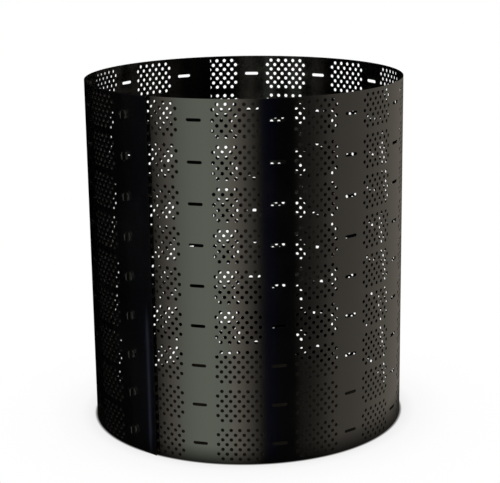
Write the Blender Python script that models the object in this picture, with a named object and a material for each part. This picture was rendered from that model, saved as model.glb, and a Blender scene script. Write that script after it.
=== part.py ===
# Expandable compost bin: one slotted plastic sheet, rolled into an open tube with its ends lapped,
# and a column of twist keys that hold the lap shut. Metres, +Z up, standing on Z = 0.
# Angles round the tube are measured from the front (-Y) and grow towards +X.

from math import ceil, cos, floor, pi, radians, sin, sqrt

import bmesh
import bpy
from mathutils import Matrix, Vector

# Sheet
sheet_height = 0.9144
sheet_wall = 0.0013
column_pitch = 0.200  # from one column of slots to the next, along the sheet
columns_in_sheet = 18
columns_per_turn = 13  # how tightly the sheet is rolled: the slots of both layers line up
end_margin = 0.080  # plain strip past the first and the last column of slots
row_pitch = 0.1016
layer_gap = 0.0004  # between the two layers where they lap
seam_angle = radians(-44.65)  # where the keys are: the outermost column of slots

# Slots: level, with round ends, one in each row of every plain strip
slot_length = 0.038
slot_height = 0.008
slot_strip = 0.071  # plain strip with a column of slots; fields of holes fill the rest of the pitch
slot_end_segments = 3

# Fields of round holes. Each field is drawn as a few larger openings, one in every flat of the
# sheet, of the same total area and in the proportions of their share of the field.
hole_diameter = 0.0094
holes_in_field = 38
field_height = 0.0889
flats_in_field = 2

# Twist keys
seat_gap = 0.0003  # flange to sheet
bar_end_clearance = 0.002  # cross bar to the end of the slot
bar_side_clearance = 0.0008
bar_thickness = 0.004
bar_play = 0.0006  # cross bar to the inside of the sheet, so that the key turns
shank_clearance = 0.0009
flange_diameter = 0.022
flange_thickness = 0.0024
flange_chamfer = 0.0007
wing_length = 0.026
wing_top_length = 0.017
wing_thickness = 0.0046
wing_top_thickness = 0.0034
wing_height = 0.0095
bar_end_segments = 4
round_segments = 18
weld_depth = 0.0006  # how far the key's forms run into each other before they are joined

# Worked out
column_angle = 2 * pi / columns_per_turn
rolled_radius = column_pitch * columns_per_turn / (2 * pi)  # outer face of the inner layer
lap_step = sheet_wall + layer_gap  # how far the sheet spirals out in one turn
row_count = floor(sheet_height / row_pitch + 0.01)
flat_half_angle = column_angle * slot_strip / column_pitch / 2
field_width = column_pitch - slot_strip
field_open_share = holes_in_field * pi * hole_diameter**2 / 4 / (field_width * field_height)
opening_width = field_width / flats_in_field * sqrt(field_open_share)
opening_height = field_height * sqrt(field_open_share)
bar_length = slot_length - 2 * bar_end_clearance
bar_width = slot_height - 2 * bar_side_clearance
shank_diameter = slot_height - 2 * shank_clearance
sheet_start = -end_margin  # the outer end; the key column is at 0
sheet_end = (columns_in_sheet - 1) * column_pitch + end_margin


def material(name, colour, roughness):
    made = bpy.data.materials.new(name)
    made.use_nodes = True
    shader = made.node_tree.nodes["Principled BSDF"]
    shader.inputs["Base Color"].default_value = (*colour, 1)
    shader.inputs["Roughness"].default_value = roughness
    shader.inputs["Metallic"].default_value = 0
    return made


def row_heights():
    """Heights of the slot rows, from the bottom, centred on the sheet."""
    lowest = (sheet_height - (row_count - 1) * row_pitch) / 2
    return [lowest + row * row_pitch for row in range(row_count)]


def outer_face_radius(along):
    """Distance of the sheet's outer face from the tube's axis: a spiral that grows to the outer end."""
    turns = along / column_pitch / columns_per_turn
    return rolled_radius + lap_step * (1 - turns)


def spiral_corner(along):
    """Corner between two flats, placed so that the slotted flats touch the spiral.

    Past the keys nothing bends the sheet, so its free end runs on straight from the key column's flat.
    """
    flat_end = slot_strip / 2
    if along < -flat_end:
        near, far = spiral_corner(-flat_end), spiral_corner(flat_end)
        return near + (near - far).normalized() * (-flat_end - along)
    angle = seam_angle - along / column_pitch * column_angle
    radius = outer_face_radius(along) / cos(flat_half_angle)
    return Vector((radius * sin(angle), -radius * cos(angle), 0))


def flat_edges():
    """Where along the sheet one flat meets the next, from past its outer end to past its inner end."""
    flat_width = field_width / flats_in_field
    spare = ceil(end_margin / column_pitch)
    edges = []
    for column in range(-spare - 1, columns_in_sheet + spare):
        first = column * column_pitch + slot_strip / 2
        edges += [first + step * flat_width for step in range(flats_in_field + 1)]
    return edges


FLAT_EDGES = flat_edges()


def rolled(along, height):
    """Point of the outer face, by its distance along the sheet and its height."""
    for low, high in zip(FLAT_EDGES, FLAT_EDGES[1:]):
        if low <= along <= high:
            share = (along - low) / (high - low)
            point = spiral_corner(low).lerp(spiral_corner(high), share)
            point.z = height
            return point
    raise ValueError("that point is past the ends of the sheet")


def sheet_centre():
    """Middle of the rolled sheet's box, seen from above: the spiral is a little to one side."""
    edges = [edge for edge in FLAT_EDGES if sheet_start < edge < sheet_end]
    corners = [rolled(edge, 0) for edge in (sheet_start, *edges, sheet_end)]
    xs = [corner.x for corner in corners]
    ys = [corner.y for corner in corners]
    return Vector(((min(xs) + max(xs)) / 2, (min(ys) + max(ys)) / 2, 0))


CENTRE = sheet_centre()


def stadium(length, width, segments):
    """Outline of a level slot about its middle, anticlockwise from the right end's lowest point."""
    radius = width / 2
    reach = length / 2 - radius
    right = [
        (reach + radius * cos(angle), radius * sin(angle))
        for angle in (pi * step / segments - pi / 2 for step in range(segments + 1))
    ]
    return right + [(-x, -y) for x, y in right]


def rectangle(width, height):
    """Outline about its middle, in the same order as a slot's."""
    x, y = width / 2, height / 2
    return [(x, -y), (x, y), (-x, y), (-x, -y)]


def add_flat(mesh, point_at, low, high, rows, outline):
    """One flat of the sheet from low to high, with an opening of that outline at each height in rows.

    Its two faces meet on a line that runs from opening to opening along their low ends.
    """
    middle = (low + high) / 2
    half = len(outline) // 2
    low_side, high_side = [], []
    for height in rows:
        opening = [(middle + x, height + y) for x, y in outline]
        low_side += reversed(opening[half:])
        high_side = [opening[half], *reversed(opening[:half]), opening[-1], *high_side]
    corners = [(low, 0), (high, 0), (high, sheet_height), (low, sheet_height)]
    mesh.faces.new([point_at(place) for place in [corners[0], *low_side, corners[3]]])
    mesh.faces.new([point_at(place) for place in [*corners, *high_side]])


def make_wall(plastic):
    """The rolled sheet: flats with their slots and openings, thickened inwards."""
    mesh = bmesh.new()
    known = {}

    def point_at(place):
        key = (round(place[0], 7), round(place[1], 7))
        if key not in known:
            known[key] = mesh.verts.new(rolled(*place) - CENTRE)
        return known[key]

    rows = row_heights()
    slot = stadium(slot_length, slot_height, slot_end_segments)
    opening = rectangle(opening_width, opening_height)
    slotted = [column * column_pitch for column in range(columns_in_sheet)]
    inside = [edge for edge in FLAT_EDGES if sheet_start < edge < sheet_end]
    edges = [sheet_start, *inside, sheet_end]
    for low, high in zip(edges, edges[1:]):
        if any(low < column < high for column in slotted):
            add_flat(mesh, point_at, low, high, rows, slot)
        elif slotted[0] < low and high < slotted[-1]:
            add_flat(mesh, point_at, low, high, rows, opening)
        else:
            ends = [(low, 0), (high, 0), (high, sheet_height), (low, sheet_height)]
            mesh.faces.new([point_at(place) for place in ends])
    bmesh.ops.recalc_face_normals(mesh, faces=mesh.faces)
    if sum(face.normal.dot(face.calc_center_median()) for face in mesh.faces) < 0:
        bmesh.ops.reverse_faces(mesh, faces=mesh.faces)
    data = bpy.data.meshes.new("perforated_wall")
    mesh.to_mesh(data)
    mesh.free()
    wall = bpy.data.objects.new("perforated_wall", data)
    bpy.context.collection.objects.link(wall)
    data.materials.append(plastic)
    thicken = wall.modifiers.new("Sheet thickness", "SOLIDIFY")
    thicken.thickness = sheet_wall
    thicken.offset = -1
    thicken.use_even_offset = True
    thicken.use_quality_normals = True
    return wall


def prism(outline, low, high, top_scale=(1, 1)):
    """Closed solid over an outline in X and Y, from low to high, its top drawn in by top_scale."""
    mesh = bmesh.new()
    bottom = [mesh.verts.new((x, y, low)) for x, y in outline]
    top = [mesh.verts.new((x * top_scale[0], y * top_scale[1], high)) for x, y in outline]
    mesh.faces.new(reversed(bottom))
    mesh.faces.new(top)
    for i, corner in enumerate(bottom):
        after = (i + 1) % len(bottom)
        mesh.faces.new((corner, bottom[after], top[after], top[i]))
    return finished_form(mesh)


def turned(profile):
    """Closed solid turned about Z from (radius, height) points, from its lower to its upper end."""
    mesh = bmesh.new()
    rings = []
    for radius, height in profile:
        around = (2 * pi * step / round_segments for step in range(round_segments))
        rings.append([mesh.verts.new((radius * cos(a), radius * sin(a), height)) for a in around])
    mesh.faces.new(reversed(rings[0]))
    mesh.faces.new(rings[-1])
    for low, high in zip(rings, rings[1:]):
        for i in range(round_segments):
            after = (i + 1) % round_segments
            mesh.faces.new((low[i], low[after], high[after], high[i]))
    return finished_form(mesh)


def finished_form(mesh):
    bmesh.ops.recalc_face_normals(mesh, faces=mesh.faces)
    data = bpy.data.meshes.new("form")
    mesh.to_mesh(data)
    mesh.free()
    form = bpy.data.objects.new("form", data)
    bpy.context.collection.objects.link(form)
    return form


def joined(name, forms):
    """One mesh made of overlapping closed forms, which are removed afterwards."""
    first = forms[0]
    for other in forms[1:]:
        union = first.modifiers.new("Join", "BOOLEAN")
        union.operation = "UNION"
        union.object = other
    bpy.context.view_layer.update()
    seen = first.evaluated_get(bpy.context.evaluated_depsgraph_get())
    mesh = bpy.data.meshes.new_from_object(seen)
    mesh.name = name
    for form in forms:
        bpy.data.objects.remove(form)
    return mesh


def make_key_mesh(plastic):
    """A twist key about its own axis: Z points out of the bin, X lies along its bar and wing.

    Z = 0 is the flange's underside, which seats on the outer layer.
    """
    bar_top = -(seat_gap + 2 * sheet_wall + layer_gap + bar_play)
    bar_bottom = bar_top - bar_thickness
    shank = shank_diameter / 2
    rim = flange_diameter / 2
    core = turned([
        (shank, bar_top - weld_depth),
        (shank, 0),
        (rim, 0),
        (rim, flange_thickness - flange_chamfer),
        (rim - flange_chamfer, flange_thickness),
    ])
    bar = prism(stadium(bar_length, bar_width, bar_end_segments), bar_bottom, bar_top)
    taper = (wing_top_length / wing_length, wing_top_thickness / wing_thickness)
    wing_foot = stadium(wing_length, wing_thickness, bar_end_segments)
    wing = prism(wing_foot, flange_thickness - weld_depth, flange_thickness + wing_height, taper)
    mesh = joined("closure_key", [core, bar, wing])
    mesh.materials.clear()
    mesh.materials.append(plastic)
    mesh.shade_smooth()
    mesh.set_sharp_from_angle(angle=radians(35))
    return mesh


def place_keys(mesh):
    """One key in each slot of the lapped column, locked: bar and wing upright."""
    outward = Vector((sin(seam_angle), -cos(seam_angle), 0))
    upward = Vector((0, 0, 1))
    turn = Matrix((upward, outward.cross(upward), outward)).transposed()
    seat = outward * (outer_face_radius(0) + seat_gap) - CENTRE
    for number, height in enumerate(row_heights(), start=1):
        key = bpy.data.objects.new(f"closure_key_{number}", mesh)
        key.matrix_world = Matrix.Translation(seat + upward * height) @ turn.to_4x4()
        bpy.context.collection.objects.link(key)


def build():
    for old in list(bpy.data.objects):
        bpy.data.objects.remove(old)
    sheet_plastic = material("black_sheet_polyethylene", (0.020, 0.021, 0.021), 0.36)
    key_plastic = material("black_moulded_polyethylene", (0.014, 0.014, 0.015), 0.42)
    make_wall(sheet_plastic)
    place_keys(make_key_mesh(key_plastic))


build()
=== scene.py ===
# Looks for a black compost bin: a perforated plastic sheet rolled into a tube, shut by twist keys.
# Everything is in metres; the bin stands on Z = 0 round the Z axis.
from math import cos, pi, radians, sin

import bpy
import numpy as np
from mathutils import Matrix, Vector


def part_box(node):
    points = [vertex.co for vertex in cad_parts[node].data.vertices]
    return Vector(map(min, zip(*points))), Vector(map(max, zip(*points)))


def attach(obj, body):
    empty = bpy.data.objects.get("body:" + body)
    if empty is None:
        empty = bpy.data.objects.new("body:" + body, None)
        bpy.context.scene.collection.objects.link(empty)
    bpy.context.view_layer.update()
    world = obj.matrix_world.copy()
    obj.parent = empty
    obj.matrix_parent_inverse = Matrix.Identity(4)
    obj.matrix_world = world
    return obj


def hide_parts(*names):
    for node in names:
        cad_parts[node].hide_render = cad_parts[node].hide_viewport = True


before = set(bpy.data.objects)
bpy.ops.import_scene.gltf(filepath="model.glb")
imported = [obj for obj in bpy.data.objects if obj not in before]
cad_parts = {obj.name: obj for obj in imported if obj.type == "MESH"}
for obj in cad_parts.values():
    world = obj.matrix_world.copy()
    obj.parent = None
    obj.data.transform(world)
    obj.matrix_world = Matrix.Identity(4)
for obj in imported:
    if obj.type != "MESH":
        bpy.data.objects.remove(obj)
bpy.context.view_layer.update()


# Small helpers

def toLinear(hexColour):
    # sRGB "#rrggbb" to linear RGBA
    srgb = np.array([int(hexColour[i:i + 2], 16) for i in (1, 3, 5)]) / 255
    linear = np.where(srgb <= 0.04045, srgb / 12.92, ((srgb + 0.055) / 1.055) ** 2.4)
    return (*linear.tolist(), 1.0)


def addNode(tree, kind, settings=None, links=None, stops=()):
    # One node: settings are its properties and unlinked inputs, links are input <- output socket, and
    # stops are the (position, colour) pairs of a colour ramp. An input goes by its name, or by its
    # number where the node has several of that name.
    node = tree.nodes.new(kind)
    for name, value in (settings or {}).items():
        if isinstance(name, str) and hasattr(node, name):
            setattr(node, name, value)
        else:
            node.inputs[name].default_value = value
    for name, source in (links or {}).items():
        tree.links.new(source, node.inputs[name])
    for index, (position, colour) in enumerate(stops):
        stop = node.color_ramp.elements[index] if index < 2 else node.color_ramp.elements.new(position)
        stop.position = position
        stop.color = colour
    return node


def newMaterial(name):
    # An empty node material, and its tree to fill
    material = bpy.data.materials.new(name)
    material.use_nodes = True
    material.node_tree.nodes.clear()
    return material, material.node_tree


# Materials

def makeSheetPlastic():
    # Extruded polyethylene sheet, carbon black: dark to the core, a smooth wax-like gloss with faint
    # lines along the sheet from the die, and cut edges a little paler and rougher than the face
    look = {
        # cutEdge is paler partly from whitening of the cut plastic, partly as a painted highlight of the
        # light the edges catch
        "colour": "#040404", "dust": "#10100f", "cutEdge": "#1c1c1b", "ior": 1.53,
        "roughness": 0.13, "scuffRoughness": 0.05, "edgeRoughness": 0.15,  # the last two add to the first
        "cloud": 0.16,                # patches of dust, about a hand wide
        "cloudRange": (0.42, 0.75),   # the noise levels between which the dust comes in
        "dustShare": 0.4,             # and how much of its colour there is then
        "scuff": 0.030,               # rubbed patches
        "scuffRange": (0.52, 0.72),
        "edgePower": 6.0,             # how steeply the look of a cut edge ends beside it
        "edgeShare": 0.5,             # and how much of it there is on the edge
        "wave": 0.11,                 # slow waves of a sheet that was rolled up for storage
        "waveHeight": 0.0012, "waveStrength": 0.35,
        "dieLine": 0.0035,            # die lines: really under 1 mm apart, drawn coarse so that they show
        "dieLineHeight": 0.00003, "dieLineStrength": 0.25,
        "dieLineDraw": 60,            # how many times longer than wide they are
    }
    material, tree = newMaterial("extrudedBlackPolyethylene")
    flatPlace = addNode(tree, "ShaderNodeUVMap", {"uv_map": "flat"}).outputs[0]
    place = addNode(tree, "ShaderNodeTexCoord").outputs["Object"]
    stretched = addNode(tree, "ShaderNodeMapping", {"Scale": (1 / look["dieLineDraw"], 1, 1)},
                        {"Vector": flatPlace}).outputs[0]
    lines = addNode(tree, "ShaderNodeTexNoise", {"Scale": 1 / look["dieLine"], "Detail": 3.0},
                    {"Vector": stretched}).outputs[0]
    clouds = addNode(tree, "ShaderNodeTexNoise", {"Scale": 1 / look["cloud"], "Detail": 4.0},
                     {"Vector": place}).outputs[0]
    scuffs = addNode(tree, "ShaderNodeTexNoise", {"Scale": 1 / look["scuff"], "Detail": 8.0,
                     "Roughness": 0.7, "Distortion": 1.2}, {"Vector": place}).outputs[0]
    waves = addNode(tree, "ShaderNodeTexNoise", {"Scale": 1 / look["wave"], "Detail": 1.0},
                    {"Vector": place}).outputs[0]
    edge = addNode(tree, "ShaderNodeAttribute", {"attribute_name": "cutEdge"}).outputs["Fac"]

    # Colour: dust over the black where the clouds are thick, then the paler cut edges, partly the
    # whitening of cut plastic and partly a painted highlight where the thin edges catch light
    thin, thick = look["cloudRange"]
    dusty = addNode(tree, "ShaderNodeMapRange", {"From Min": thin, "From Max": thick,
                    "To Max": look["dustShare"]}, {"Value": clouds}).outputs[0]
    dusted = addNode(tree, "ShaderNodeMix", {"data_type": "RGBA", 6: toLinear(look["colour"]),
                     7: toLinear(look["dust"])}, {0: dusty}).outputs[2]
    narrow = addNode(tree, "ShaderNodeMath", {"operation": "POWER", 1: look["edgePower"]},
                     {0: edge}).outputs[0]
    rim = addNode(tree, "ShaderNodeMath", {"operation": "MULTIPLY", 1: look["edgeShare"]},
                  {0: narrow}).outputs[0]
    colour = addNode(tree, "ShaderNodeMix", {"data_type": "RGBA", 7: toLinear(look["cutEdge"])},
                     {0: rim, 6: dusted}).outputs[2]

    # Roughness: the smooth face, more where it is scuffed, and more again on cut edges
    light, heavy = look["scuffRange"]
    scuffed = addNode(tree, "ShaderNodeMapRange", {"From Min": light, "From Max": heavy},
                      {"Value": scuffs}).outputs[0]
    face = addNode(tree, "ShaderNodeMath", {"operation": "MULTIPLY_ADD", 1: look["scuffRoughness"],
                   2: look["roughness"]}, {0: scuffed}).outputs[0]
    rough = addNode(tree, "ShaderNodeMath", {"operation": "MULTIPLY_ADD", 1: look["edgeRoughness"]},
                    {0: rim, 2: face}).outputs[0]

    # Relief: the fine die lines on the slow waves
    slow = addNode(tree, "ShaderNodeBump", {"Strength": look["waveStrength"],
                   "Distance": look["waveHeight"]}, {"Height": waves}).outputs[0]
    fine = addNode(tree, "ShaderNodeBump", {"Strength": look["dieLineStrength"],
                   "Distance": look["dieLineHeight"]}, {"Height": lines, "Normal": slow}).outputs[0]
    shader = addNode(tree, "ShaderNodeBsdfPrincipled", {"IOR": look["ior"]},
                     {"Base Color": colour, "Roughness": rough, "Normal": fine}).outputs[0]
    addNode(tree, "ShaderNodeOutputMaterial", links={"Surface": shader})
    return material


def makeKeyPlastic():
    # Injection moulded polyethylene, carbon black: the steel mould leaves a smooth skin with a very
    # fine grain, rubbed a little paler and duller where fingers turn it
    look = {
        "colour": "#050505", "rubbed": "#151515", "ior": 1.53,
        "roughness": 0.20, "rubbedRoughness": 0.10,  # the second adds to the first
        "patch": 0.011,              # rubbed patches, about a fingertip wide
        "patchRange": (0.50, 0.80),  # the noise levels between which the rubbing comes in
        "rubbedShare": 0.6,          # and how much of it there is then
        "grain": 0.0006, "grainHeight": 0.00003, "grainStrength": 0.2,
    }
    material, tree = newMaterial("mouldedBlackPolyethylene")
    place = addNode(tree, "ShaderNodeTexCoord").outputs["Object"]
    grain = addNode(tree, "ShaderNodeTexNoise", {"Scale": 1 / look["grain"], "Detail": 2.0},
                    {"Vector": place}).outputs[0]
    patches = addNode(tree, "ShaderNodeTexNoise", {"Scale": 1 / look["patch"], "Detail": 4.0},
                      {"Vector": place}).outputs[0]
    light, heavy = look["patchRange"]
    rubbed = addNode(tree, "ShaderNodeMapRange", {"From Min": light, "From Max": heavy,
                     "To Max": look["rubbedShare"]}, {"Value": patches}).outputs[0]
    colour = addNode(tree, "ShaderNodeMix", {"data_type": "RGBA", 6: toLinear(look["colour"]),
                     7: toLinear(look["rubbed"])}, {0: rubbed}).outputs[2]
    rough = addNode(tree, "ShaderNodeMath", {"operation": "MULTIPLY_ADD", 1: look["rubbedRoughness"],
                    2: look["roughness"]}, {0: rubbed}).outputs[0]
    bump = addNode(tree, "ShaderNodeBump", {"Strength": look["grainStrength"],
                   "Distance": look["grainHeight"]}, {"Height": grain}).outputs[0]
    shader = addNode(tree, "ShaderNodeBsdfPrincipled", {"IOR": look["ior"]},
                     {"Base Color": colour, "Roughness": rough, "Normal": bump}).outputs[0]
    addNode(tree, "ShaderNodeOutputMaterial", links={"Surface": shader})
    return material


# The rolled sheet

sheet = {
    "wall": 0.0013, "layerGap": 0.0004,
    "columnPitch": 0.200, "columns": 18, "columnsPerTurn": 13, "endMargin": 0.080,
    "rowPitch": 0.1016, "rows": 9, "seamAngle": radians(-44.65),
    "slotLength": 0.038, "slotHeight": 0.008,
    "holeDiameter": 0.0094, "holePitch": 0.0215, "holeRowPitch": 0.0127, "holeSides": 12,
    "holeRows": 7, "holesAcross": 6,  # in a block; every other row, from the first, has one hole less
    # The free end springs in a little past this distance from the keys, below this height
    "springIn": 0.0006, "springFrom": 0.060, "springWidth": 0.006,
    "springBelow": 0.37, "springFade": 0.03,
    "plainEndLines": 16,  # upright grid lines in the plain end beside the first and the last slots
    "weldSteps": 1e6,     # points are joined on a grid of this many steps in a metre
    "parts": 3,
}
columnAngle = 2 * pi / sheet["columnsPerTurn"]
rolledRadius = sheet["columnPitch"] * sheet["columnsPerTurn"] / (2 * pi)
lapStep = sheet["wall"] + sheet["layerGap"]
blockHalf = sheet["holesAcross"] / 2 * sheet["holePitch"]
stripHalf = sheet["columnPitch"] / 2 - blockHalf


def roll(along, height, depth):
    # Point of the rolled sheet: the distance along it becomes an angle, and the radius shrinks evenly
    # by one lap in a turn. Past the key column, where along < 0, the sheet runs on along the tangent,
    # and near its end it steps in by a smooth tanh curve, faded out upwards by another.
    curved = np.maximum(along, 0)
    free = -np.minimum(along, 0)
    angle = sheet["seamAngle"] - curved / sheet["columnPitch"] * columnAngle
    step = np.tanh((free - sheet["springFrom"]) / sheet["springWidth"])
    spring = sheet["springIn"] * (1 + np.tanh((sheet["springBelow"] - height) / sheet["springFade"])) / 2
    inward = spring * (1 + step) / 2
    slope = spring * (1 - step ** 2) / 2 / sheet["springWidth"]
    turns = curved / sheet["columnPitch"] / sheet["columnsPerTurn"]
    radius = rolledRadius + lapStep * (1 - turns) - depth - inward
    radial = np.stack([np.sin(angle), -np.cos(angle), 0 * angle], axis=-1)
    lengthwise = np.stack([-np.cos(angle), -np.sin(angle), 0 * angle], axis=-1)
    point = radial * radius[..., None] - lengthwise * free[..., None]
    point[..., 2] = height
    return point, radial - lengthwise * slope[..., None], lengthwise


def sheetCentre():
    # From the middle of the CAD wall's box to the spiral's own axis: the middle of one turn's outer
    # line, sampled every twentieth of a degree, less the middle of the box
    low, high = (np.array(corner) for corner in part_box("perforated_wall"))
    distances = np.linspace(0, sheet["columnPitch"] * sheet["columnsPerTurn"], 360 * 20 + 1)
    ring = roll(distances, 0 * distances, 0)[0]
    middle = (ring.min(axis=0) + ring.max(axis=0)) / 2 - (low + high) / 2
    return np.array([middle[0], middle[1], 0])


def tiled(points, faces, offsets):
    # Copies of one small pattern, moved by each offset
    moved = (offsets[:, None, :] + points[None, :, :]).reshape(-1, 2)
    starts = (np.arange(len(offsets)) * len(points))[:, None, None]
    return moved, [(block[None, :, :] + starts).reshape(-1, block.shape[1]) for block in faces]


def gridCells(xs, zs, keep=None):
    # Rectangles between grid lines, as loose corners and quads; keep says which ones are made
    x0, z0 = (edge.ravel() for edge in np.meshgrid(xs[:-1], zs[:-1], indexing="ij"))
    x1, z1 = (edge.ravel() for edge in np.meshgrid(xs[1:], zs[1:], indexing="ij"))
    if keep is not None:
        x0, x1, z0, z1 = (edge[keep.ravel()] for edge in (x0, x1, z0, z1))
    corners = np.stack([np.stack([x0, z0], 1), np.stack([x1, z0], 1), np.stack([x1, z1], 1),
                        np.stack([x0, z1], 1)], axis=1).reshape(-1, 2)
    return corners, [np.zeros((0, 3), int), np.arange(len(corners)).reshape(-1, 4)]


def holeCell():
    # One round hole in a brick of sheet: six points round the brick, then twelve round the hole, both
    # from the lower left
    wide, high = sheet["holePitch"] / 2, sheet["holeRowPitch"] / 2
    brick = np.array([(-wide, -high), (0, -high), (wide, -high), (wide, high), (0, high), (-wide, high)])
    turn = radians(210) + np.arange(sheet["holeSides"]) * 2 * pi / sheet["holeSides"]
    ring = np.stack([np.cos(turn), np.sin(turn)], 1) * sheet["holeDiameter"] / 2
    h = len(brick)
    tris = [(0, h + 1, h), (2, h + 4, h + 3), (2, h + 5, h + 4), (2, 3, h + 5), (3, h + 6, h + 5),
            (3, h + 7, h + 6), (5, h + 10, h + 9), (5, h + 11, h + 10), (5, 0, h + 11), (0, h, h + 11)]
    quads = [(0, 1, h + 2, h + 1), (1, 2, h + 3, h + 2), (3, 4, h + 8, h + 7), (4, 5, h + 9, h + 8)]
    return np.vstack([brick, ring]), [np.array(tris), np.array(quads)]


def slotCell(lines):
    # One level slot with round ends: ten points round its rectangle, then twenty round the slot. The
    # faces are made in two halves, the upper one being the lower one after half a turn.
    high, radius = sheet["holeRowPitch"] / 2, sheet["slotHeight"] / 2
    reach = sheet["slotLength"] / 2 - radius
    box = np.vstack([np.stack([lines, 0 * lines - high], 1),
                     np.stack([lines[::-1], 0 * lines + high], 1)])
    turn = np.arange(7) * pi / 6 - pi / 2
    bend = np.stack([reach + radius * np.cos(turn), radius * np.sin(turn)], 1)
    level = np.linspace(-reach, reach, 5)[1:-1]
    half = np.vstack([np.stack([level, 0 * level - radius], 1), bend])
    ring = np.roll(np.vstack([half, -half]), 1, axis=0)  # it starts at the left end of the lower edge
    o = len(box)
    tris, quads = [], []
    for base, first in ((0, 0), (5, 10)):
        quads += [(base + i, base + i + 1, o + first + i + 1, o + first + i) for i in range(4)]
        end, far = base + 4, (base + 5) % 10
        arc = [o + (first + 4 + i) % 20 for i in range(7)]
        tris += [(end, arc[i + 1], arc[i]) for i in range(3)] + [(end, far, arc[3])]
        tris += [(far, arc[i + 1], arc[i]) for i in range(3, 6)]
    return np.vstack([box, ring]), [np.array(tris), np.array(quads)]


def rowsAt(places):
    # Middle of every slot row, at each place along the sheet, given in column pitches
    heights = (np.arange(sheet["rows"]) + 0.5) * sheet["rowPitch"]
    grid = np.meshgrid(np.asarray(places) * sheet["columnPitch"], heights, indexing="ij")
    return np.stack(grid, -1).reshape(-1, 2)


def flatPattern(first, last):
    # The flat sheet from column first to column last, as loose cells: hole blocks between slot strips
    holeRow = sheet["holeRowPitch"]
    rows, across = sheet["holeRows"], sheet["holesAcross"]
    bandLines = np.concatenate([[-sheet["rowPitch"] / 2], (np.arange(rows + 1) - rows / 2) * holeRow,
                                [sheet["rowPitch"] / 2]])
    bands = len(bandLines) - 1
    columns = np.arange(first, last + 1)
    blocks = np.arange(first, min(last + 1, sheet["columns"] - 1)) + 0.5
    made = []
    # Strips with the slots: plain cells, but for the four in the middle that the slot's own cell takes
    stripLines = np.linspace(-stripHalf, stripHalf, 7)
    keep = np.ones((len(stripLines) - 1, bands), bool)
    keep[1:5, bands // 2] = False
    made.append(tiled(*gridCells(stripLines, bandLines, keep), rowsAt(columns)))
    made.append(tiled(*slotCell(stripLines[1:6]), rowsAt(columns)))
    # Hole blocks: rows of holes, every other one with a hole less and a plain half cell at each end, and
    # plain bands above and below
    blockLines = np.linspace(-blockHalf, blockHalf, 2 * across + 1)
    keep = np.zeros((2 * across, bands), bool)
    keep[:, [0, -1]] = True
    keep[0, 1::2] = keep[-1, 1::2] = True
    made.append(tiled(*gridCells(blockLines, bandLines, keep), rowsAt(blocks)))
    full = (np.arange(across) - (across - 1) / 2) * sheet["holePitch"]
    short = (np.arange(across - 1) - (across - 2) / 2) * sheet["holePitch"]
    places = [(x, (row - (rows - 1) / 2) * holeRow) for row in range(rows)
              for x in (full if row % 2 else short)]
    centres = (rowsAt(blocks)[:, None, :] + np.array(places)[None, :, :]).reshape(-1, 2)
    made.append(tiled(*holeCell(), centres))
    # Plain ends, beside the first and the last column
    for column, side in ((0, -1), (sheet["columns"] - 1, 1)):
        if column in columns:
            ends = np.sort(side * np.linspace(stripHalf, sheet["endMargin"], sheet["plainEndLines"]))
            made.append(tiled(*gridCells(ends, bandLines), rowsAt([column])))
    return made


def welded(made):
    # Joins loose cells where their corners meet, once rounded to whole steps
    starts = np.cumsum([0] + [len(points) for points, faces in made])
    points = np.vstack([points for points, faces in made])
    whole = np.round(points * sheet["weldSteps"]).astype(np.int64)
    unique, index, inverse = np.unique(whole, axis=0, return_index=True, return_inverse=True)
    inverse = inverse.ravel()
    joined = [np.vstack([inverse[faces[k] + start] for (_, faces), start in zip(made, starts)])
              for k in (0, 1)]
    return points[index], joined


def rimEdges(faces, count):
    # Edges that only one face uses, in that face's direction
    edges = np.vstack([np.stack([block, np.roll(block, -1, axis=1)], -1).reshape(-1, 2)
                       for block in faces])
    code, back = edges[:, 0] * count + edges[:, 1], edges[:, 1] * count + edges[:, 0]
    return edges[~np.isin(code, back)]


def rimNormals(flat, rims, lengthwise):
    # Square to each rim edge in the flat sheet, averaged at its points and then rolled. Points off the
    # rims have a sum of zero, which tiny keeps from being a divisor.
    a, b = rims.T
    run = flat[b] - flat[a]
    across = np.stack([run[:, 1], -run[:, 0]], axis=1)
    total = np.zeros(flat.shape)
    np.add.at(total, a, across)
    np.add.at(total, b, across)
    tiny = 1e-9
    total /= np.maximum(np.linalg.norm(total, axis=1, keepdims=True), tiny)
    return lengthwise * total[:, :1] + np.array([0, 0, 1.0]) * total[:, 1:]


def meshFromArrays(name, points, faces, normals, uvs, edgeMark):
    # Blender mesh from whole arrays; normals and uvs are one per face corner, in the order of the faces
    mesh = bpy.data.meshes.new(name)
    corners = np.concatenate([block.ravel() for block in faces])
    sides = np.concatenate([np.full(len(block), block.shape[1]) for block in faces])
    mesh.vertices.add(len(points))
    mesh.vertices.foreach_set("co", points.ravel())
    mesh.loops.add(len(corners))
    mesh.loops.foreach_set("vertex_index", corners)
    mesh.polygons.add(len(sides))
    mesh.polygons.foreach_set("loop_start", np.cumsum(sides) - sides)
    mesh.update(calc_edges=True)
    mesh.uv_layers.new(name="flat").data.foreach_set("uv", uvs.ravel())
    mesh.attributes.new("cutEdge", "FLOAT", "POINT").data.foreach_set("value", edgeMark)
    mesh.shade_smooth()
    mesh.normals_split_custom_set(normals.tolist())
    mesh.validate()
    return mesh


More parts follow.
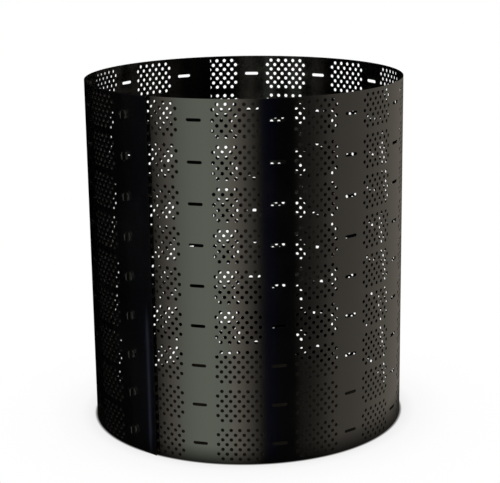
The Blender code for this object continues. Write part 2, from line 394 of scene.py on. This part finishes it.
def makeSheetPart(name, first, last, centre, material):
    # The flat pattern rolled twice, as outer and inner face, joined by walls round every hole and edge
    flat, (tris, quads) = welded(flatPattern(first, last))
    count = len(flat)
    rims = rimEdges((tris, quads), count)
    outer, outward, lengthwise = roll(flat[:, 0], flat[:, 1], 0)
    inner = roll(flat[:, 0], flat[:, 1], sheet["wall"])[0]
    # Seen from outside, the distance along the sheet grows to the left, so outer faces are turned over
    a, b = rims.T
    walls = np.stack([a, b, b + count, a + count], axis=1)
    faces = [tris[:, ::-1], tris + count, quads[:, ::-1], quads + count, walls]
    faceNormals = np.vstack([outward, -outward])
    wallNormals = np.tile(rimNormals(flat, rims, lengthwise), (2, 1))
    normals = [faceNormals[block.ravel()] for block in faces[:4]] + [wallNormals[walls.ravel()]]
    # Cut edges are marked, but not the lines where one part only meets the next. The mark carries the
    # paler edge colour, partly a painted highlight
    mark = np.zeros(count)
    mark[rims.ravel()] = 1
    for joint in (first, last + 1):
        if 0 < joint < sheet["columns"]:
            line = joint * sheet["columnPitch"] - stripHalf
            mark[np.abs(flat[:, 0] - line) < 1 / sheet["weldSteps"]] = 0
    corners = np.concatenate([block.ravel() for block in faces])
    mesh = meshFromArrays(name, np.vstack([outer, inner]) - centre, faces, np.vstack(normals),
                          flat[corners % count], np.tile(mark, 2))
    mesh.materials.append(material)
    part = bpy.data.objects.new(name, mesh)
    bpy.context.collection.objects.link(part)
    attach(part, "wall")
    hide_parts("perforated_wall")
    return part


# Twist keys

key = {
    "seatGap": 0.0003, "barPlay": 0.0006,
    "barThickness": 0.004, "barLength": 0.034, "barWidth": 0.0064, "barRound": 0.0007,
    "shankDiameter": 0.0062, "flangeDiameter": 0.022, "flangeThickness": 0.0024, "flangeRound": 0.0008,
    "wingLength": 0.026, "wingTopLength": 0.017, "wingThickness": 0.0046, "wingTopThickness": 0.0034,
    "wingHeight": 0.0095, "wingRound": 0.0012,
    "sink": 0.0006,  # how far shank and wing reach into what they grow from
    "sides": 40, "roundSteps": 5,  # points round a level outline, and levels in each rounded edge
    "sharpAngle": radians(35),     # edges turned by more than this stay crisp
}


def stadiumRing(length, width):
    # Level outline with round ends: a circle of the width, pulled apart to the length
    turn = (np.arange(key["sides"]) * 2 + 1) * pi / key["sides"]
    radius = width / 2
    return np.stack([radius * np.cos(turn) + np.sign(np.cos(turn)) * (length / 2 - radius),
                     radius * np.sin(turn)], 1)


def loft(rings, heights):
    # Closed skin through rings of equal count at their heights, its ends shut by one face each
    count = len(rings[0])
    points = np.vstack([np.column_stack([ring, np.full(count, height)])
                        for ring, height in zip(rings, heights)])
    i = np.arange(count)
    j = (i + 1) % count
    faces = []
    for low in range(0, count * (len(rings) - 1), count):
        faces += np.stack([low + i, low + j, low + count + j, low + count + i], 1).tolist()
    faces += [i[::-1].tolist(), (i + (len(rings) - 1) * count).tolist()]
    mesh = bpy.data.meshes.new("form")
    mesh.from_pydata(points.tolist(), [], faces)
    form = bpy.data.objects.new("form", mesh)
    bpy.context.collection.objects.link(form)
    return form


def roundedForm(foot, top, low, high, rounding, roundBottom):
    # Stadium that changes evenly from (length, width) at its foot to that at its top, with its edges
    # rounded by a quarter circle
    turn = np.linspace(0, pi / 2, key["roundSteps"])
    inset = rounding * (1 - np.cos(turn))
    rise = rounding * (1 - np.sin(turn))
    levels = list(zip(low + inset, rise)) if roundBottom else [(low, 0.0)]
    levels += list(zip(high - rise, inset))
    rings = []
    for height, shrink in levels:
        share = (height - low) / (high - low)
        length, width = (a + (b - a) * share - 2 * shrink for a, b in zip(foot, top))
        rings.append(stadiumRing(length, width))
    return loft(rings, [height for height, shrink in levels])


def makeKeyMesh(material):
    # Key about its own axis: Z points out of the bin, X lies along bar and wing, Z = 0 is the flange's
    # seat. Shank and flange are one turned profile, and bar and wing are joined to it.
    barTop = -(key["seatGap"] + 2 * sheet["wall"] + sheet["layerGap"] + key["barPlay"])
    flange, thick, edge = key["flangeDiameter"] / 2, key["flangeThickness"], key["flangeRound"]
    shank = key["shankDiameter"] / 2
    turn = np.linspace(0, pi / 2, key["roundSteps"])
    profile = [(shank, barTop - key["sink"]), (shank, 0.0), (flange - edge / 3, 0.0), (flange, edge / 3)]
    profile += list(zip(flange - edge * (1 - np.cos(turn)), thick - edge * (1 - np.sin(turn))))
    core = loft([stadiumRing(2 * radius, 2 * radius) for radius, height in profile],
                [height for radius, height in profile])
    barSize = (key["barLength"], key["barWidth"])
    bar = roundedForm(barSize, barSize, barTop - key["barThickness"], barTop, key["barRound"], True)
    wing = roundedForm((key["wingLength"], key["wingThickness"]),
                       (key["wingTopLength"], key["wingTopThickness"]),
                       thick - key["sink"], thick + key["wingHeight"], key["wingRound"], False)
    for other in (bar, wing):
        union = core.modifiers.new("join", "BOOLEAN")
        union.operation = "UNION"
        union.object = other
    bpy.context.view_layer.update()
    mesh = bpy.data.meshes.new_from_object(core.evaluated_get(bpy.context.evaluated_depsgraph_get()))
    for form in (core, bar, wing):
        bpy.data.objects.remove(form)
    mesh.materials.clear()
    mesh.materials.append(material)
    return mesh


def placeKeys(mesh, centre):
    # One key in each row of the lapped column, locked: bar and wing upright
    outward = Vector((sin(sheet["seamAngle"]), -cos(sheet["seamAngle"]), 0))
    upward = Vector((0, 0, 1))
    turn = Matrix((upward, outward.cross(upward), outward)).transposed().to_4x4()
    seat = outward * (rolledRadius + lapStep + key["seatGap"]) - Vector(centre)
    for number in range(1, sheet["rows"] + 1):
        height = (number - 0.5) * sheet["rowPitch"]
        own = mesh.copy()
        own.transform(Matrix.Translation(seat + upward * height) @ turn)
        own.shade_smooth()
        own.set_sharp_from_angle(angle=key["sharpAngle"])
        piece = bpy.data.objects.new("twistKey%d" % number, own)
        bpy.context.collection.objects.link(piece)
        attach(piece, "closure_key_%d" % number)
        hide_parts("closure_key_%d" % number)


# Studio

studio = {
    "floorSize": 30.0, "floorDrop": 0.0004,  # it lies this far under the bin's edge
    # Pale floor, with a dark disc of painted shade under and inside the bin up to this distance from the
    # middle (m), dark as floor in deep shade
    "floorColour": "#f2f2f0", "shadeDiscColour": "#36312b", "shadeDiscReach": (0.418, 0.424),
    # How much of the floor's look is the white of the background, by distance from the middle. Near the
    # bin it falls short of white, which paints a grey halo of shade round the foot over the real shadow
    "floorWhite": [(0.0, 0.0), (0.417, 0.0), (0.420, 0.75), (0.46, 0.90), (0.55, 0.97), (0.75, 1.0)],
    # Between these distances the gloss mirrors less and less of the floor, and none past them. What it
    # mirrors there is a dark floor of painted shade, which darkens the foot of the wall in its gloss.
    "floorMirror": (0.403, 0.520), "shadeMirrorColour": "#1a1815",
    "roomLight": 0.72,  # the even light on matt surfaces, where 1 is white
    # Three wide softboxes stand low round the bin, by compass angle from the front in degrees
    "lampAngles": (-35, 85, 205), "lampDistance": 6.0, "lampHeight": 0.55, "lampSize": (4.0, 1.0),
    "lampPower": 60.0,
    "tints": {"pale": "#f6ffe9", "warm": "#fff4e2", "steel": "#c4cdff", "blue": "#0c1a58"},
    # What the gloss mirrors: bright and dark walls, by compass angle from the front (degrees, growing to
    # the right), brightness and tint
    "gloss": [(-180, 0.0, "warm"), (-91, 0.0, "steel"), (-88, 0.4, "steel"), (-84, 0.4, "steel"),
              (-80, 0.0, "steel"), (-74, 0.0, "warm"), (-70, 0.22, "warm"), (-63, 0.75, "warm"),
              (-55, 1.3, "warm"), (-48, 1.8, "pale"), (-38, 2.15, "pale"), (-28, 2.3, "pale"),
              (-17, 2.2, "pale"), (-9, 1.9, "warm"), (-2, 1.18, "warm"), (5, 0.55, "warm"),
              (10, 0.09, "warm"), (14, 0.8, "blue"), (21, 0.35, "blue"), (25, 0.0, "blue"),
              (34, 0.0, "warm"), (40, 0.13, "warm"), (47, 0.2, "warm"), (56, 0.38, "warm"),
              (63, 0.66, "warm"), (70, 0.74, "warm"), (110, 0.7, "warm"), (150, 0.3, "warm"),
              (180, 0.0, "warm")],
}


def makeFloor():
    # One pale square with a dark disc of painted shade in the middle, under and inside the bin. With
    # growing distance from the bin the camera sees more of the background's white in it, which leaves a
    # painted grey halo of shade near the bin, and the gloss sees it less, by the ramps in the settings.
    half, low = studio["floorSize"] / 2, -studio["floorDrop"]
    mesh = bpy.data.meshes.new("floor")
    corners = [(-half, -half, low), (half, -half, low), (half, half, low), (-half, half, low)]
    mesh.from_pydata(corners, [], [(0, 1, 2, 3)])
    floor = bpy.data.objects.new("floor", mesh)
    bpy.context.collection.objects.link(floor)
    material, tree = newMaterial("paleFloor")
    rays = addNode(tree, "ShaderNodeLightPath").outputs
    place = addNode(tree, "ShaderNodeTexCoord").outputs["Object"]
    reach = addNode(tree, "ShaderNodeVectorMath", {"operation": "LENGTH"}, {0: place}).outputs["Value"]
    first, last = studio["shadeDiscReach"]
    outside = addNode(tree, "ShaderNodeMapRange", {"From Min": first, "From Max": last},
                      {"Value": reach}).outputs[0]
    # Painted shade: the floor turns to the dark disc colour under and inside the bin
    colour = addNode(tree, "ShaderNodeMix", {"data_type": "RGBA", 6: toLinear(studio["shadeDiscColour"]),
                     7: toLinear(studio["floorColour"])}, {0: outside}).outputs[2]
    matt = addNode(tree, "ShaderNodeBsdfDiffuse", links={"Color": colour}).outputs[0]
    # Painted shade for the gloss: the floor near the bin is mirrored dark
    shadeInMirror = addNode(tree, "ShaderNodeBsdfDiffuse", {"Color": toLinear(studio["shadeMirrorColour"])}).outputs[0]
    white = addNode(tree, "ShaderNodeEmission", {"Color": (1, 1, 1, 1), "Strength": 1.0}).outputs[0]
    unseen = addNode(tree, "ShaderNodeBsdfTransparent").outputs[0]
    # The lower white share near the bin paints a contact shadow round its foot
    greys = [(distance, (level, level, level, 1)) for distance, level in studio["floorWhite"]]
    away = addNode(tree, "ShaderNodeValToRGB", links={0: reach}, stops=greys).outputs[0]
    whiteShare = addNode(tree, "ShaderNodeMath", {"operation": "MULTIPLY"},
                         {0: away, 1: rays["Is Camera Ray"]}).outputs[0]
    near, far = studio["floorMirror"]
    past = addNode(tree, "ShaderNodeMapRange", {"From Min": near, "From Max": far},
                   {"Value": reach}).outputs[0]
    shown = addNode(tree, "ShaderNodeMixShader", links={0: whiteShare, 1: matt, 2: white}).outputs[0]
    mirrored = addNode(tree, "ShaderNodeMixShader", links={0: past, 1: shadeInMirror, 2: unseen}).outputs[0]
    mixed = addNode(tree, "ShaderNodeMixShader", links={0: rays["Is Glossy Ray"], 1: shown,
                    2: mirrored}).outputs[0]
    addNode(tree, "ShaderNodeOutputMaterial", links={"Surface": mixed})
    mesh.materials.append(material)


def makeWorld():
    # White to the camera, even soft light to matt surfaces, and bright and dark walls to the gloss
    world = bpy.data.worlds.new("studio")
    bpy.context.scene.world = world
    world.use_nodes = True
    tree = world.node_tree
    tree.nodes.clear()
    rays = addNode(tree, "ShaderNodeLightPath").outputs
    way = addNode(tree, "ShaderNodeTexCoord").outputs["Generated"]
    parts = addNode(tree, "ShaderNodeSeparateXYZ", links={0: way}).outputs
    # Compass angle from the front, as a share of the full turn: the arctangent of X and minus Y
    frontward = addNode(tree, "ShaderNodeMath", {"operation": "MULTIPLY", 1: -1.0},
                        {0: parts["Y"]}).outputs[0]
    compass = addNode(tree, "ShaderNodeMath", {"operation": "ARCTAN2"},
                      {0: parts["X"], 1: frontward}).outputs[0]
    turnShare = addNode(tree, "ShaderNodeMath", {"operation": "MULTIPLY_ADD", 1: 1 / (2 * pi), 2: 0.5},
                        {0: compass}).outputs[0]
    top = max(level for angle, level, tint in studio["gloss"])
    tints = {name: np.array(toLinear(colour)) for name, colour in studio["tints"].items()}
    walls = [((angle + 180) / 360, (*(tints[tint][:3] * level / top), 1))
             for angle, level, tint in studio["gloss"]]
    bands = addNode(tree, "ShaderNodeValToRGB", links={0: turnShare}, stops=walls).outputs[0]
    soft = addNode(tree, "ShaderNodeBackground", {"Color": (1, 1, 1, 1),
                   "Strength": studio["roomLight"]}).outputs[0]
    mirrored = addNode(tree, "ShaderNodeBackground", {"Strength": top}, {"Color": bands}).outputs[0]
    white = addNode(tree, "ShaderNodeBackground", {"Color": (1, 1, 1, 1), "Strength": 1.0}).outputs[0]
    lit = addNode(tree, "ShaderNodeMixShader", links={0: rays["Is Glossy Ray"], 1: soft,
                  2: mirrored}).outputs[0]
    seen = addNode(tree, "ShaderNodeMath", {"operation": "MAXIMUM"},
                   {0: rays["Is Camera Ray"], 1: rays["Is Transmission Ray"]}).outputs[0]
    shown = addNode(tree, "ShaderNodeMixShader", links={0: seen, 1: lit, 2: white}).outputs[0]
    addNode(tree, "ShaderNodeOutputWorld", links={"Surface": shown})
    world.cycles.sampling_method = "NONE"


def makeLamps():
    # Softboxes at one distance from the middle and one height, turned to the bin's axis. They light its
    # matt colour alone: what the gloss mirrors is in the world.
    for number, compass in enumerate(studio["lampAngles"], 1):
        data = bpy.data.lights.new("softbox%d" % number, "AREA")
        data.shape = "RECTANGLE"
        data.size, data.size_y = studio["lampSize"]
        data.energy = studio["lampPower"]
        lamp = bpy.data.objects.new(data.name, data)
        bpy.context.collection.objects.link(lamp)
        way = Vector((sin(radians(compass)), -cos(radians(compass)), 0))
        lamp.location = way * studio["lampDistance"] + Vector((0, 0, studio["lampHeight"]))
        lamp.rotation_euler = (-way).to_track_quat("-Z", "Y").to_euler()
        lamp.visible_glossy = False
        lamp.visible_camera = False


# Camera: metres and degrees

view = {
    "distance": 3.771, "height": 1.423, "pitch": 14.24, "yaw": -0.16, "roll": -0.78,
    "focalPixels": 1448.3, "imageWidth": 500, "sensorWidth": 36,
    "clipStart": 0.1, "clipEnd": 100,
}


def makeCamera():
    # Fitted to the photograph: it stands in front of the bin, tips down by pitch, turns by yaw and leans
    # by roll, and its focal length is given in the photograph's pixels
    pitch, yaw, lean = (radians(view[name]) for name in ("pitch", "yaw", "roll"))
    level = Vector((cos(yaw), sin(yaw), 0))
    forward = Vector((-cos(pitch) * sin(yaw), cos(pitch) * cos(yaw), -sin(pitch)))
    lifted = level.cross(forward)
    right = level * cos(lean) + lifted * sin(lean)
    up = lifted * cos(lean) - level * sin(lean)
    data = bpy.data.cameras.new("camera")
    data.sensor_fit = "HORIZONTAL"
    data.sensor_width = view["sensorWidth"]
    data.lens = view["focalPixels"] * view["sensorWidth"] / view["imageWidth"]
    data.clip_start, data.clip_end = view["clipStart"], view["clipEnd"]
    camera = bpy.data.objects.new("camera", data)
    bpy.context.collection.objects.link(camera)
    turn = Matrix((right, up, -forward)).transposed().to_4x4()
    camera.matrix_world = Matrix.Translation((0, -view["distance"], view["height"])) @ turn
    bpy.context.scene.camera = camera


# Build

print("camera, light and floor")
makeCamera()
makeWorld()
makeLamps()
makeFloor()

centre = sheetCentre()
sheetPlastic = makeSheetPlastic()
firstColumns = np.linspace(0, sheet["columns"], sheet["parts"] + 1).astype(int)
for number, (first, end) in enumerate(zip(firstColumns, firstColumns[1:]), 1):
    part = makeSheetPart("sheetPart%d" % number, first, end - 1, centre, sheetPlastic)
    print("sheet part", number, "of", sheet["parts"], "with", len(part.data.polygons), "faces")

print("twist keys")
placeKeys(makeKeyMesh(makeKeyPlastic()), centre)

bpy.context.scene.view_settings.view_transform = "Standard"
